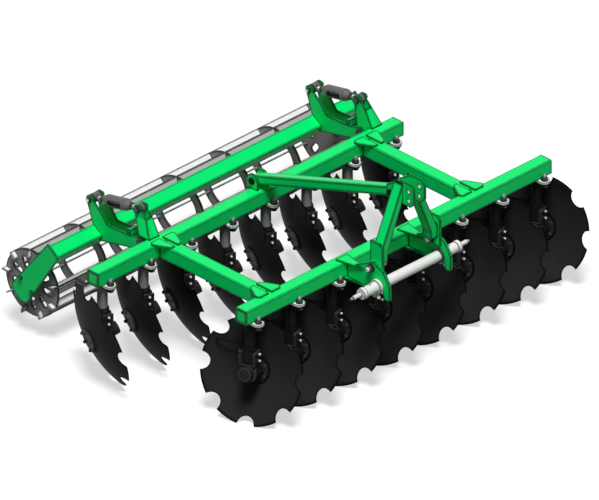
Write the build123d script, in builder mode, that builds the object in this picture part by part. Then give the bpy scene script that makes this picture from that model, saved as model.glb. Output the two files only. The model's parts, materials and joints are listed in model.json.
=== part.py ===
"""Mounted disc harrow: a welded frame of square tube with two rows of notched discs, each on a stand of
its own, a three-point hitch in front and a caged bar roller behind, set by two turnbuckles.

Frame: millimetres, +X to the harrow's left as it faces forward, +Y to the rear, +Z up. The origin is on the
floor below the middle of the harrow's length and width. Forward is -Y.
"""

from build123d import *
from math import asin, cos, radians, sin, sqrt
import os

os.makedirs("parts", exist_ok=True)

# ------------------------------------------------------------------ driving dimensions

# Beams: square tube, two across and two fore and aft
tube = 80
tube_wall = 8
tube_round = 8
row_spacing = 781  # front beam's front face to rear beam's front face
stagger = 252  # how far the rear row stands to the right of the front row
side_beam_spread = 1418  # between the centres of the fore and aft beams
hitch_x = -15  # middle of the hitch, of the fore and aft beams and of the roller
cap_thick = 6
cap_inset = 1

# Gussets on the frame's corners, measured sideways from the fore and aft beam's middle and along it from the joint
gusset_thick = 10
gusset_gap = 10
gusset_lap = 32
gusset_width = 82
gusset_side = 6
gusset_reach = 78
gusset_tip = 32
gusset_corner = 12

# Discs
discs_per_row = 8
disc_pitch = 285
end_margin = 67.5  # beam end to the nearest stand
disc_radius = 280
disc_thick = 6
disc_sphere = 610.5  # radius of the ball that the disc's outer face is a cap of
flat_radius = 70  # flat middle that takes the bolts
notch_radius = 47
notch_count = 8
edge_thick = 1.2
bevel_width = 12
attack = 20  # degrees, the disc turned from the line of travel
tilt = 16  # degrees, the disc leaning back from upright
stand_drop = 303  # underside of the beam to the middle of the disc's rim
rim_offset = 9  # middle of the rim beside the stand's axis

# Stands
lug_plate = 12
lug_length = 170
lug_width = 60
flange_margin = 4  # how far the lug reaches past the stand's flange
flange_plate = 10
stand_radius = 27
collar_radius = 34
collar_height = 19
block_length = 50
block_width = 60
block_shift = 10
block_rise = 62  # underside of the block over the rim's middle
block_height = 76

# Hub carriers
cheek_plate = 12
cheek_length = 62
cheek_gap = 0.5
cheek_drop = 4  # how far the cheeks reach under the block
cheek_top = 10  # how far they stop below the block's top
bridge_drop = 2
waist_rise = 8  # foot of the arm over the rim's middle
waist_length = 46
housing_radius = 46
housing_gap = 4  # between the housing and the disc's flange
housing_back = 50
nose_radius = 36
nose_length = 42
nose_taper = 4  # degrees
stub_radius = 20
stub_cover = 8  # housing's bottom beyond the stub's end
running_fit = 0.05
flange_thick = 8

# Hitch
bracket_spread = 426
bracket_plate = 15
bracket_reach = 295
bracket_foot = 37  # brow of the bracket: forward of the beam's face, and its rises over the beam's top
bracket_heel = (150, 62)
bracket_crown = (182, 75)
bracket_brow = (251, 41)
bracket_nose_drop = 28
bracket_low = (107, 95)  # lower edge
hook_inner = (252, 93)  # hooked tip in front of the shaft
hook_tip = (276, 113)
hook_outer_drop = 88
web_on_beam = 50  # flat gussets on both sides of a bracket
web_reach = 120
web_foot_top = 41
web_foot_low = 34
web_tip = 8
shaft_forward = 214
shaft_below = 47
shaft_radius = 27
shaft_collar_radius = 30
shaft_shoulders = 683  # between the outer faces of the collars
collar_width = 24
lower_pin_radius = 11
lower_pin_length = 56
linch_radius = 6
linch_length = 15
clamp_ring_radius = 38
clamp_ring_width = 20
clamp_ear_width = 26
clamp_ear_height = 24
clamp_ear_lap = 6
mast_gap = 62
mast_plate = 12
mast_hole_radius = 10
mast_hole_forward = 251
mast_hole_rises = (377, 431)  # the two holes over the beam's top
stay_tube = 50
stay_wall = 5
stay_pin_radius = 12
stay_pin_head = 8
stay_side_gap = 3
clevis_radius = 39
stay_front = (123, 373)  # front pin: forward of the front face, over the beam's top
stay_rear = (65, 43)  # rear pin: behind the rear beam's front face, over the beam's top
leg_width = 60
leg_depth = 42
leg_back = 152  # rear side of the legs, forward of the beam's front face
leg_low = 62
leg_turn = 128  # where the outer side leaves the foot plate
leg_drop = 20
leg_high = 464
leg_weld = 92
foot_plate = 12
foot_back = 144
foot_front = 232
foot_low = 12
foot_high = 180
foot_corner = 22
mast_low = 343  # underside and top of the mast plates over the beam's top
mast_high = 473
mast_back = 95
mast_front = 288
mast_corner = 26
mast_round = 34
mast_slope = (190, 60)  # rear corner cut off: start forward of the beam's face, depth

# Roller frame, its posts and turnbuckles
post_x = 33  # middle of the two posts
post_spread = 1530
pivot_back = 125  # behind the rear beam's front face
pivot_below = 45
post_pin_back = 164
post_pin_rise = 125
post_foot_back = 55  # foot of the sloping front plate behind the beam's front face
post_slope_back = 104  # the same at the foot of the fork
post_fork_rise = 91
post_flare = 25  # how far the foot's outer side stands out from the fork's
arm_pin_back = 481
arm_pin_rise = 59
post_gap = 32
post_plate = 8
arm_gap = 58
arm_plate = 10
pin_radius = 10
pivot_radius = 15
pivot_over = 5  # how far the pivot's pin stands out of the arm's plates
ear_radius = 26
lug_radius = 32  # round the pivot's pin
post_depth = 76
boss_radius = 37  # the arm's end round the pivot
crook_back = 362  # inner corner of the arm's crook
crook_below = 36
crook_chamfer = 44
chamfer_rise = 56
arm_belly_back = 223
arm_belly_below = 104
spacer_back = 222  # block between the arm's plates
spacer_below = 30
spacer_length = 20
roller_beam_back = 450
roller_beam_below = 125
roller_beam_turn = 33.5  # degrees, the tube's top face leaning forward
side_plate = 12
plate_top_width = 94
plate_low_width = 132
plate_above = 51  # over the crossbeam's middle
plate_beyond = 92  # past the roller's axle
plate_chamfer = 28
chamfer_width = 31
roller_span = 2150  # over the side plates' outer faces

# Roller
roller_axis_back = 616
roller_axis_below = 360
ring_radius = 182
ring_inner = 130
ring_thick = 10
ring_count = 7
roller_end_gap = 40  # side plate's inner face to the end ring
bar_count = 9
bar_thick = 8
bar_depth = 43
bar_start = 5.5  # degrees, the first bar over the level, behind the axle
roller_tip = 185
bar_overhang = 28
slot_inner = 78
slot_outer = 140
slot_width = 30
axle_radius = 20
axle_gap = 8  # axle's end to the side plate
bearing_radius = 46
bearing_thick = 26

# Turnbuckles
barrel_radius = 32
barrel_start = 62  # from the front pin
barrel_length = 200
barrel_neck = 18
barrel_taper = 34
window_length = 92
window_height = 24
eye_radius = 25
front_eye_thick = 26
rear_eye_thick = 46
screw_radius = 12
screw_end = 150  # end of the rear screw from the front pin
eye_play = 3.5  # the rear eye's bore round its pin

# ------------------------------------------------------------------ places worked out from them

notch_half_angle = 2 * asin(notch_radius / (2 * disc_radius))
hub_z = disc_radius * cos(notch_half_angle) * cos(radians(tilt))
beam_bottom = hub_z + stand_drop
beam_top = beam_bottom + tube
beam_z = beam_bottom + tube / 2
beam_length = (discs_per_row - 1) * disc_pitch + 2 * end_margin
reach_behind = row_spacing + roller_axis_back + roller_tip
front_face = (bracket_reach - reach_behind) / 2
rear_face = front_face + row_spacing
shaft_y = front_face - shaft_forward
shaft_z = beam_top - shaft_below
half_spread = bracket_spread / 2

# name, y of the beam's axis, x of the beam's middle, side that the discs' bellies face
rows = [
    ("front", front_face + tube / 2, stagger / 2, 1),
    ("rear", rear_face + tube / 2, -stagger / 2, -1),
]
sides = [("left", 1), ("right", -1)]


def side_view(x, y, z):
    """Upright plane facing +X: first coordinate to the rear of y, second over z."""
    return Plane(origin=(x, y, z), x_dir=(0, 1, 0), z_dir=(1, 0, 0))


def rear_view(y, x=0, z=0):
    """Upright plane facing +Y: first coordinate towards -X, second up."""
    return Plane(origin=(x, y, z), x_dir=(-1, 0, 0), z_dir=(0, 1, 0))


def tube_section(size, wall, corner):
    """Outline of a square tube with rounded edges."""
    RectangleRounded(size, size, corner)
    RectangleRounded(size - 2 * wall, size - 2 * wall, corner / 2, mode=Mode.SUBTRACT)


def stand_places(beam_x):
    """X of each stand on a beam."""
    first = beam_x - beam_length / 2 + end_margin
    return [first + disc_pitch * i for i in range(discs_per_row)]


# ------------------------------------------------------------------ beams

for name, y, x, side in rows:
    with BuildPart() as beam:
        with BuildSketch(Plane.YZ.offset(x - beam_length / 2)):
            with Locations((y, beam_z)):
                tube_section(tube, tube_wall, tube_round)
        extrude(amount=beam_length)
    beam.part.label = f"{name}_beam"
    export_step(beam.part, f"parts/{name}_beam.step")

for name, side in sides:
    with BuildPart() as side_beam:
        with BuildSketch(rear_view(front_face + tube, hitch_x + side * side_beam_spread / 2, beam_z)):
            tube_section(tube, tube_wall, tube_round)
        extrude(amount=row_spacing - tube)
    side_beam.part.label = f"side_beam_{name}"
    export_step(side_beam.part, f"parts/side_beam_{name}.step")

# Plugs that close the tubes' ends
with BuildPart() as beam_caps:
    for name, y, x, side in rows:
        for end in (-1, 1):
            outside = x + end * (beam_length / 2 - cap_inset)
            with BuildSketch(Plane.YZ.offset(outside)):
                with Locations((y, beam_z)):
                    RectangleRounded(tube - 2 * tube_wall, tube - 2 * tube_wall, tube_round / 2)
            extrude(amount=-end * cap_thick)
beam_caps.part.label = "beam_caps"
export_step(beam_caps.part, "parts/beam_caps.step")

# Flat gussets, two on top of each corner of the frame: sideways from the fore and aft beam's middle,
# away from the joint along it
gusset_outline = [
    (gusset_gap, -gusset_lap), (gusset_width - gusset_corner, -gusset_lap),
    (gusset_width, gusset_corner - gusset_lap), (gusset_width, -gusset_side),
    (gusset_tip + gusset_corner, gusset_reach - gusset_corner), (gusset_tip, gusset_reach),
    (gusset_gap, gusset_reach),
]
with BuildPart() as gusset_plates:
    for corner_y, inward in ((front_face + tube, 1), (rear_face, -1)):
        for name, side in sides:
            for hand in (-1, 1):
                middle = hitch_x + side * side_beam_spread / 2
                corners = [(middle + hand * a, corner_y + inward * b) for a, b in gusset_outline]
                with BuildSketch(Plane.XY.offset(beam_top)):
                    with BuildLine():
                        Polyline(*corners, close=True)
                    make_face()
                extrude(amount=gusset_thick)
gusset_plates.part.label = "gusset_plates"
export_step(gusset_plates.part, "parts/gusset_plates.step")

# ------------------------------------------------------------------ discs


def outer_z(r):
    """Height of the disc's outer face over the plane of its rim."""
    return sqrt(disc_sphere**2 - r**2) - sqrt(disc_sphere**2 - disc_radius**2)


def inner_z(r):
    """Height of the disc's inner face over the plane of its rim."""
    return sqrt((disc_sphere - disc_thick) ** 2 - r**2) - sqrt(disc_sphere**2 - disc_radius**2)


def belly(side):
    """Way that a disc's convex face looks: sideways, a little to the rear and down."""
    across = cos(radians(tilt)) * cos(radians(attack))
    return Vector(side * across, cos(radians(tilt)) * sin(radians(attack)), -sin(radians(tilt)))


def lean(side):
    """Way up in the disc's own plane."""
    across = sin(radians(tilt)) * cos(radians(attack))
    return Vector(side * across, sin(radians(tilt)) * sin(radians(attack)), cos(radians(tilt)))


half_way = (flat_radius + disc_radius) / 2
bevel_start = disc_radius - bevel_width
back_half = (flat_radius + bevel_start) / 2
pole = outer_z(flat_radius)
seat = inner_z(flat_radius) - flange_thick
housing_front = seat - housing_gap
stub_end = stub_cover - housing_back

for row, axis_y, beam_x, side in rows:
    for number, x in enumerate(stand_places(beam_x), 1):
        middle = Vector(x + side * rim_offset, axis_y, hub_z)
        section = Plane(origin=middle, x_dir=lean(side), z_dir=lean(side).cross(belly(side)))
        with BuildPart() as disc:
            with BuildSketch(section):
                with BuildLine():
                    Polyline(
                        (stub_radius, seat), (stub_radius, stub_end), (0, stub_end), (0, pole), (flat_radius, pole)
                    )
                    ThreePointArc((flat_radius, pole), (half_way, outer_z(half_way)), (disc_radius, 0))
                    Polyline((disc_radius, 0), (disc_radius, -edge_thick), (bevel_start, inner_z(bevel_start)))
                    ThreePointArc(
                        (bevel_start, inner_z(bevel_start)),
                        (back_half, inner_z(back_half)),
                        (flat_radius, inner_z(flat_radius)),
                    )
                    Polyline((flat_radius, inner_z(flat_radius)), (flat_radius, seat), (stub_radius, seat))
                make_face()
            revolve(axis=Axis(middle, belly(side)))
            with BuildSketch(Plane(origin=middle, x_dir=lean(side), z_dir=belly(side))):
                with PolarLocations(disc_radius, notch_count):
                    Circle(notch_radius)
            extrude(amount=tube, both=True, mode=Mode.SUBTRACT)
        disc.part.label = f"disc_{row}_{number}"
        export_step(disc.part, f"parts/disc_{row}_{number}.step")

# ------------------------------------------------------------------ stands and hub carriers

block_bottom = hub_z + block_rise
block_top = block_bottom + block_height
stand_top = beam_bottom - lug_plate - flange_plate

for row, axis_y, beam_x, side in rows:
    level = Vector(side * cos(radians(attack)), sin(radians(attack)), 0)

    # Plates welded under the beam, with a round lug in front and behind for the stand's bolts
    with BuildPart() as clamps:
        with BuildSketch(Plane.XY.offset(beam_bottom - lug_plate)):
            with Locations(*[(x, axis_y) for x in stand_places(beam_x)]):
                SlotOverall(lug_length, lug_width, rotation=90)
        extrude(amount=lug_plate)
    clamps.part.label = f"{row}_clamps"
    export_step(clamps.part, f"parts/{row}_clamps.step")

    # Upright stands: flange, round tube, collar and the block that carries the hub
    with BuildPart() as stands:
        with BuildSketch(Plane.XY.offset(stand_top)):
            with Locations(*[(x, axis_y) for x in stand_places(beam_x)]):
                SlotOverall(lug_length - 2 * flange_margin, lug_width - 2 * flange_margin, rotation=90)
        extrude(amount=flange_plate)
        with BuildSketch(Plane.XY.offset(block_top)):
            with Locations(*[(x, axis_y) for x in stand_places(beam_x)]):
                Circle(stand_radius)
        extrude(amount=stand_top - block_top)
        with BuildSketch(Plane.XY.offset(block_top)):
            with Locations(*[(x, axis_y) for x in stand_places(beam_x)]):
                Circle(collar_radius)
        extrude(amount=collar_height)
        for x in stand_places(beam_x):
            place = Vector(x, axis_y, block_bottom) - level * block_shift
            with BuildSketch(Plane(origin=place, x_dir=level, z_dir=(0, 0, 1))):
                Rectangle(block_length, block_width)
            extrude(amount=block_height)
    stands.part.label = f"{row}_stands"
    export_step(stands.part, f"parts/{row}_stands.step")

    # Hub carriers: two cheeks bolted to the block, an arm and the hub's housing with its nose cap
    with BuildPart() as carriers:
        for x in stand_places(beam_x):
            place = Vector(x, axis_y, 0) - level * block_shift
            middle = Vector(x + side * rim_offset, axis_y, hub_z)
            bridge = Plane(origin=place + Vector(0, 0, block_bottom - bridge_drop), x_dir=level, z_dir=(0, 0, 1))
            waist = Plane(origin=place + Vector(0, 0, hub_z + waist_rise), x_dir=level, z_dir=(0, 0, 1))
            with BuildSketch(bridge):
                Rectangle(cheek_length, block_width + 2 * (cheek_gap + cheek_plate))
            with BuildSketch(waist):
                Rectangle(waist_length, block_width)
            loft()
            with BuildSketch(bridge.offset(bridge_drop - cheek_drop)):
                with GridLocations(0, block_width + 2 * cheek_gap + cheek_plate, 1, 2):
                    Rectangle(cheek_length, cheek_plate)
            extrude(amount=block_height + cheek_drop - cheek_top)
            back = middle - belly(side) * housing_back
            with BuildSketch(Plane(origin=back, x_dir=lean(side), z_dir=belly(side))):
                Circle(housing_radius)
            extrude(amount=housing_back + housing_front)
            with BuildSketch(Plane(origin=back, x_dir=lean(side), z_dir=-belly(side))):
                Circle(nose_radius)
            extrude(amount=nose_length, taper=nose_taper)
            with BuildSketch(Plane(origin=back, x_dir=lean(side), z_dir=belly(side))):
                Circle(stub_radius + running_fit)
            extrude(amount=housing_front + housing_back, mode=Mode.SUBTRACT)
    carriers.part.label = f"{row}_carriers"
    export_step(carriers.part, f"parts/{row}_carriers.step")

# ------------------------------------------------------------------ hitch

for name, side in sides:
    x = hitch_x + side * half_spread
    with BuildPart() as bracket:
        with BuildSketch(side_view(x - bracket_plate / 2, front_face, beam_top)):
            with BuildLine():
                low_forward, low_drop = bracket_low
                throat = -shaft_forward + shaft_radius
                lip = -shaft_forward - shaft_radius
                Polyline(
                    (0, 0), (0, -tube - gusset_thick), (-low_forward, -low_drop), (throat, -low_drop),
                    (throat, -shaft_below),
                )
                ThreePointArc(
                    (throat, -shaft_below), (-shaft_forward, shaft_radius - shaft_below), (lip, -shaft_below)
                )
                Polyline((lip, -shaft_below), (-hook_inner[0], -hook_inner[1]))
                ThreePointArc(
                    (-hook_inner[0], -hook_inner[1]), (-hook_tip[0], -hook_tip[1]), (-bracket_reach, -hook_outer_drop)
                )
                Polyline(
                    (-bracket_reach, -hook_outer_drop), (-bracket_reach, -bracket_nose_drop),
                    (-bracket_brow[0], bracket_brow[1]), (-bracket_crown[0], bracket_crown[1]),
                    (-bracket_heel[0], bracket_heel[1]), (-bracket_foot, 0), (0, 0),
                )
            make_face()
        extrude(amount=bracket_plate)
        for level_z, foot in ((beam_top, web_foot_top), (beam_bottom - gusset_thick, web_foot_low)):
            with BuildSketch(Plane.XY.offset(level_z)):
                with BuildLine():
                    Polyline(
                        (x - foot, front_face + web_on_beam), (x + foot, front_face + web_on_beam),
                        (x + web_tip, front_face - web_reach), (x - web_tip, front_face - web_reach), close=True,
                    )
                make_face()
            extrude(amount=gusset_thick)
    bracket.part.label = f"hitch_bracket_{name}"
    export_step(bracket.part, f"parts/hitch_bracket_{name}.step")

# Cross shaft, turned from one bar: collars, lower-link pins and the linch pins' necks
half_shoulder = shaft_shoulders / 2
with BuildPart() as cross_shaft:
    with BuildSketch(Plane(origin=(hitch_x, shaft_y, shaft_z), x_dir=(1, 0, 0), z_dir=(0, -1, 0))):
        with BuildLine():
            end = half_shoulder + lower_pin_length
            Polyline(
                (0, 0), (0, shaft_radius), (half_shoulder - collar_width, shaft_radius),
                (half_shoulder - collar_width, shaft_collar_radius), (half_shoulder, shaft_collar_radius),
                (half_shoulder, lower_pin_radius), (end, lower_pin_radius), (end, linch_radius),
                (end + linch_length, linch_radius), (end + linch_length, 0), close=True,
            )
        make_face()
        mirror(about=Plane.YZ)
    revolve(axis=Axis((hitch_x, shaft_y, shaft_z), (1, 0, 0)))
cross_shaft.part.label = "cross_shaft"
export_step(cross_shaft.part, "parts/cross_shaft.step")

with BuildPart() as shaft_clamps:
    for name, side in sides:
        x = hitch_x + side * (half_spread + bracket_plate / 2)
        with BuildSketch(side_view(x, shaft_y, shaft_z)):
            Circle(clamp_ring_radius)
            with Locations((0, -clamp_ring_radius - clamp_ear_lap)):
                Rectangle(clamp_ear_width, clamp_ear_height)
            Circle(shaft_radius, mode=Mode.SUBTRACT)
        extrude(amount=side * clamp_ring_width)
shaft_clamps.part.label = "shaft_clamps"
export_step(shaft_clamps.part, "parts/shaft_clamps.step")

# Mast: two legs that lean in from their foot plates to the pair of plates with the top link's holes
for name, side in sides:
    foot_outer = half_spread - bracket_plate / 2
    foot_inner = foot_outer - foot_plate
    mast_outer = mast_gap / 2 + mast_plate
    with BuildPart() as leg:
        with BuildSketch(side_view(hitch_x + side * foot_outer, front_face, beam_top)):
            with BuildLine():
                Polyline(
                    (-foot_front, foot_low), (-foot_front, foot_high - foot_corner),
                    (-foot_front + foot_corner, foot_high), (-foot_back, foot_high), (-foot_back, foot_low),
                    close=True,
                )
            make_face()
        extrude(amount=-side * foot_plate)
        with BuildSketch(rear_view(front_face - leg_back, hitch_x, beam_top)):
            with BuildLine():
                Polyline(
                    (-side * foot_inner, leg_low), (-side * foot_inner, leg_turn), (-side * mast_outer, leg_high),
                    (-side * mast_outer, leg_high - leg_weld),
                    (-side * (foot_inner - leg_depth), leg_turn - leg_drop),
                    (-side * (foot_inner - leg_depth), leg_low),
                    close=True,
                )
            make_face()
        extrude(amount=-leg_width)
    leg.part.label = f"mast_leg_{name}"
    export_step(leg.part, f"parts/mast_leg_{name}.step")

with BuildPart() as mast_plates:
    for name, side in sides:
        with BuildSketch(side_view(hitch_x + side * mast_gap / 2, front_face, beam_top)):
            with BuildLine():
                chamfer_x, chamfer_z = -mast_front + mast_corner, mast_low + mast_corner
                arc_x, arc_z = -mast_front + mast_round, mast_high - mast_round
                bulge = mast_round * (1 - sqrt(0.5))
                Polyline((-mast_back, mast_low), (chamfer_x, mast_low), (-mast_front, chamfer_z), (-mast_front, arc_z))
                ThreePointArc((-mast_front, arc_z), (-mast_front + bulge, mast_high - bulge), (arc_x, mast_high))
                Polyline(
                    (arc_x, mast_high), (-mast_slope[0], mast_high), (-mast_back, mast_high - mast_slope[1]),
                    (-mast_back, mast_low),
                )
            make_face()
            with Locations(*[(-mast_hole_forward, rise) for rise in mast_hole_rises]):
                Circle(mast_hole_radius, mode=Mode.SUBTRACT)
            with Locations((-stay_front[0], stay_front[1])):
                Circle(stay_pin_radius, mode=Mode.SUBTRACT)
        extrude(amount=side * mast_plate)
mast_plates.part.label = "mast_plates"
export_step(mast_plates.part, "parts/mast_plates.step")

# Backstay from the mast to the rear beam, with a bush across each end
stay_a = Vector(hitch_x, front_face - stay_front[0], beam_top + stay_front[1])
stay_b = Vector(hitch_x, rear_face + stay_rear[0], beam_top + stay_rear[1])
along = (stay_b - stay_a).normalized()
bush_radius = stay_tube / 2
with BuildPart() as backstay:
    with BuildSketch(Plane(origin=stay_a, x_dir=(1, 0, 0), z_dir=along)):
        tube_section(stay_tube, stay_wall, stay_wall)
    extrude(amount=(stay_b - stay_a).length)
    for end in (stay_a, stay_b):
        with BuildSketch(side_view(hitch_x - stay_tube / 2, end.Y, end.Z)):
            Circle(bush_radius)
        extrude(amount=stay_tube)
    for end in (stay_a, stay_b):
        with BuildSketch(side_view(hitch_x - stay_tube / 2, end.Y, end.Z)):
            Circle(stay_pin_radius)
        extrude(amount=stay_tube, mode=Mode.SUBTRACT)
backstay.part.label = "backstay"
export_step(backstay.part, "parts/backstay.step")

with BuildPart() as backstay_clevis:
    for name, side in sides:
        with BuildSketch(side_view(hitch_x + side * (stay_tube / 2 + stay_side_gap), stay_b.Y, stay_b.Z)):
            Circle(clevis_radius)
            with Locations((0, -stay_rear[1] / 2)):
                Rectangle(2 * clevis_radius, stay_rear[1])
            Circle(stay_pin_radius, mode=Mode.SUBTRACT)
        extrude(amount=side * mast_plate)
backstay_clevis.part.label = "backstay_clevis"
export_step(backstay_clevis.part, "parts/backstay_clevis.step")

rear_reach = stay_tube / 2 + stay_side_gap + mast_plate
with BuildPart() as stay_pins:
    for end, reach in ((stay_a, mast_gap / 2 + mast_plate), (stay_b, rear_reach)):
        with BuildSketch(side_view(hitch_x - reach - stay_pin_head, end.Y, end.Z)):
            Circle(stay_pin_radius)
        extrude(amount=2 * (reach + stay_pin_head))
        with BuildSketch(side_view(hitch_x - reach - stay_pin_head, end.Y, end.Z)):
            RegularPolygon(stay_pin_radius + stay_pin_head, 6)
        extrude(amount=stay_pin_head)
stay_pins.part.label = "stay_pins"
export_step(stay_pins.part, "parts/stay_pins.step")

# ------------------------------------------------------------------ roller frame

# Corners of the turned crossbeam in side view, behind the rear beam's front face and over the beam's top
turn = radians(roller_beam_turn)
beam_up = (-sin(turn), cos(turn))
beam_ahead = (-cos(turn), -sin(turn))
half = tube / 2


def beam_corner(up, ahead):
    """Point that lies so far up and ahead of the crossbeam's middle in the tube's own directions."""
    back = roller_beam_back + up * beam_up[0] + ahead * beam_ahead[0]
    return back, up * beam_up[1] + ahead * beam_ahead[1] - roller_beam_below


rear_corner, front_corner, low_corner = beam_corner(half, -half), beam_corner(half, half), beam_corner(0, half)

for name, side in sides:
    x = post_x + side * post_spread / 2

    # Post: two cheeks from the fork down past the rear beam to the pivot, closed in front and outboard by
    # plates that slope out to a wider foot on the beam
    outside = post_gap / 2 + post_plate
    fork_foot = post_slope_back
    levels = [(0, post_foot_back, outside + post_flare), (post_fork_rise, fork_foot, outside)]
    with BuildPart() as post:
        for wall, mode in ((0, Mode.ADD), (post_plate, Mode.SUBTRACT)):
            for rise, front, reach in levels:
                inner, outer = wall - outside, reach - wall
                with BuildSketch(Plane.XY.offset(beam_top + rise)):
                    with Locations((x + side * (inner + outer) / 2, rear_face + front + wall + post_depth / 2)):
                        Rectangle(outer - inner, post_depth)
            loft(mode=mode)
        for hand in (-1, 1):
            with BuildSketch(side_view(x + hand * post_gap / 2, rear_face, beam_top)):
                with BuildLine():
                    Polyline(
                        (post_foot_back, 0), (fork_foot, post_fork_rise),
                        (post_pin_back - ear_radius, post_pin_rise),
                    )
                    ThreePointArc(
                        (post_pin_back - ear_radius, post_pin_rise), (post_pin_back, post_pin_rise + ear_radius),
                        (post_pin_back + ear_radius, post_pin_rise),
                    )
                    Polyline(
                        (post_pin_back + ear_radius, post_pin_rise), (fork_foot + post_depth, post_fork_rise),
                        (pivot_back + lug_radius, -pivot_below),
                    )
                    ThreePointArc(
                        (pivot_back + lug_radius, -pivot_below), (pivot_back, -pivot_below - lug_radius),
                        (pivot_back - lug_radius, -pivot_below),
                    )
                    Polyline(
                        (pivot_back - lug_radius, -pivot_below), (tube, -pivot_below), (tube, 0),
                        (post_foot_back, 0),
                    )
                make_face()
            extrude(amount=hand * post_plate)
        pivot_end = arm_gap / 2 + arm_plate + pivot_over
        for back, rise, radius, end in (
            (post_pin_back, post_pin_rise, pin_radius, outside),
            (pivot_back, -pivot_below, pivot_radius, pivot_end),
        ):
            with BuildSketch(side_view(x - end, rear_face + back, beam_top + rise)):
                Circle(radius)
            extrude(amount=2 * end)
    post.part.label = f"roller_post_{name}"
    export_step(post.part, f"parts/roller_post_{name}.step")

    # Cranked arm: a pair of plates from the pivot round the crossbeam and up to the turnbuckle's rear pin,
    # with a spacer between them
    with BuildPart() as arm:
        for hand in (-1, 1):
            with BuildSketch(side_view(x + hand * arm_gap / 2, rear_face, beam_top)):
                with BuildLine():
                    Polyline(
                        (arm_pin_back + ear_radius, arm_pin_rise), rear_corner, front_corner, low_corner,
                        (arm_belly_back, -arm_belly_below), (pivot_back, -pivot_below - boss_radius),
                    )
                    ThreePointArc(
                        (pivot_back, -pivot_below - boss_radius), (pivot_back - boss_radius, -pivot_below),
                        (pivot_back, boss_radius - pivot_below),
                    )
                    Polyline(
                        (pivot_back, boss_radius - pivot_below), (spacer_back - spacer_length, -spacer_below),
                        (crook_back, -crook_below), (crook_back + crook_chamfer, chamfer_rise - crook_below),
                        (arm_pin_back - ear_radius, arm_pin_rise),
                    )
                    ThreePointArc(
                        (arm_pin_back - ear_radius, arm_pin_rise), (arm_pin_back, arm_pin_rise + ear_radius),
                        (arm_pin_back + ear_radius, arm_pin_rise),
                    )
                make_face()
            extrude(amount=hand * arm_plate)
        with BuildSketch(side_view(x - arm_gap / 2 - arm_plate, rear_face + arm_pin_back, beam_top + arm_pin_rise)):
            Circle(pin_radius)
        extrude(amount=arm_gap + 2 * arm_plate)
        with BuildSketch(side_view(x - arm_gap / 2, rear_face + spacer_back, beam_top - spacer_below)):
            Rectangle(spacer_length, 2 * spacer_length)
        extrude(amount=arm_gap)
        with BuildSketch(side_view(x - arm_gap / 2 - arm_plate, rear_face + pivot_back, beam_top - pivot_below)):
            Circle(pivot_radius + running_fit)
        extrude(amount=arm_gap + 2 * arm_plate, mode=Mode.SUBTRACT)
    arm.part.label = f"roller_arm_{name}"
    export_step(arm.part, f"parts/roller_arm_{name}.step")

    # Side plate from the crossbeam's end down to the roller's bearing
    drop_y = roller_axis_back - roller_beam_back
    drop_z = roller_axis_below - roller_beam_below
    slope = Vector(0, drop_y, -drop_z).normalized()
    inner_x = hitch_x + side * (roller_span / 2 - side_plate)
    top = Vector(inner_x, rear_face + roller_beam_back, beam_top - roller_beam_below)
    with BuildPart() as plate:
        with BuildSketch(Plane(origin=top, x_dir=slope, z_dir=(side, 0, 0))):
            with BuildLine():
                low = sqrt(drop_y**2 + drop_z**2) + plate_beyond
                top_half, low_half = plate_top_width / 2, plate_low_width / 2
                Polyline(
                    (-plate_above, -top_half), (low - plate_chamfer, -low_half), (low, chamfer_width - low_half),
                    (low, low_half - chamfer_width), (low - plate_chamfer, low_half), (-plate_above, top_half),
                    close=True,
                )
            make_face()
        extrude(amount=side_plate)
    plate.part.label = f"roller_side_plate_{name}"
    export_step(plate.part, f"parts/roller_side_plate_{name}.step")

with BuildPart() as roller_beam:
    start = (hitch_x - roller_span / 2 + side_plate, rear_face + roller_beam_back, beam_top - roller_beam_below)
    with BuildSketch(Plane(origin=start, x_dir=(0, cos(turn), sin(turn)), z_dir=(1, 0, 0))):
        tube_section(tube, tube_wall, tube_round)
    extrude(amount=roller_span - 2 * side_plate)
roller_beam.part.label = "roller_beam"
export_step(roller_beam.part, "parts/roller_beam.step")

axle_y = rear_face + roller_axis_back
axle_z = beam_top - roller_axis_below
inside = roller_span / 2 - side_plate
with BuildPart() as roller_bearings:
    for name, side in sides:
        with BuildSketch(side_view(hitch_x + side * inside, axle_y, axle_z)):
            Circle(bearing_radius)
            Circle(axle_radius + running_fit, mode=Mode.SUBTRACT)
        extrude(amount=-side * bearing_thick)
roller_bearings.part.label = "roller_bearings"
export_step(roller_bearings.part, "parts/roller_bearings.step")

# ------------------------------------------------------------------ roller

ring_span = 2 * (inside - roller_end_gap) - ring_thick
ring_pitch = ring_span / (ring_count - 1)
bar_length = ring_span + ring_thick + 2 * bar_overhang
with BuildPart() as roller_rings:
    for i in range(ring_count):
        at_end = i in (0, ring_count - 1)
        x = hitch_x - ring_span / 2 + i * ring_pitch - ring_thick / 2
        with BuildSketch(side_view(x, axle_y, axle_z)):
            Circle(ring_radius)
            if at_end:
                with PolarLocations((slot_inner + slot_outer) / 2, bar_count, bar_start + 180 / bar_count):
                    SlotOverall(slot_outer - slot_inner, slot_width, mode=Mode.SUBTRACT)
            else:
                Circle(ring_inner, mode=Mode.SUBTRACT)
            with PolarLocations(roller_tip - bar_depth / 2, bar_count, bar_start):
                Rectangle(bar_depth, bar_thick, mode=Mode.SUBTRACT)
        extrude(amount=ring_thick)
    for name, side in sides:
        with BuildSketch(side_view(hitch_x + side * (ring_span / 2 + ring_thick / 2), axle_y, axle_z)):
            Circle(axle_radius)
        extrude(amount=side * (roller_end_gap - axle_gap))
roller_rings.part.label = "roller_rings"
export_step(roller_rings.part, "parts/roller_rings.step")

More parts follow.
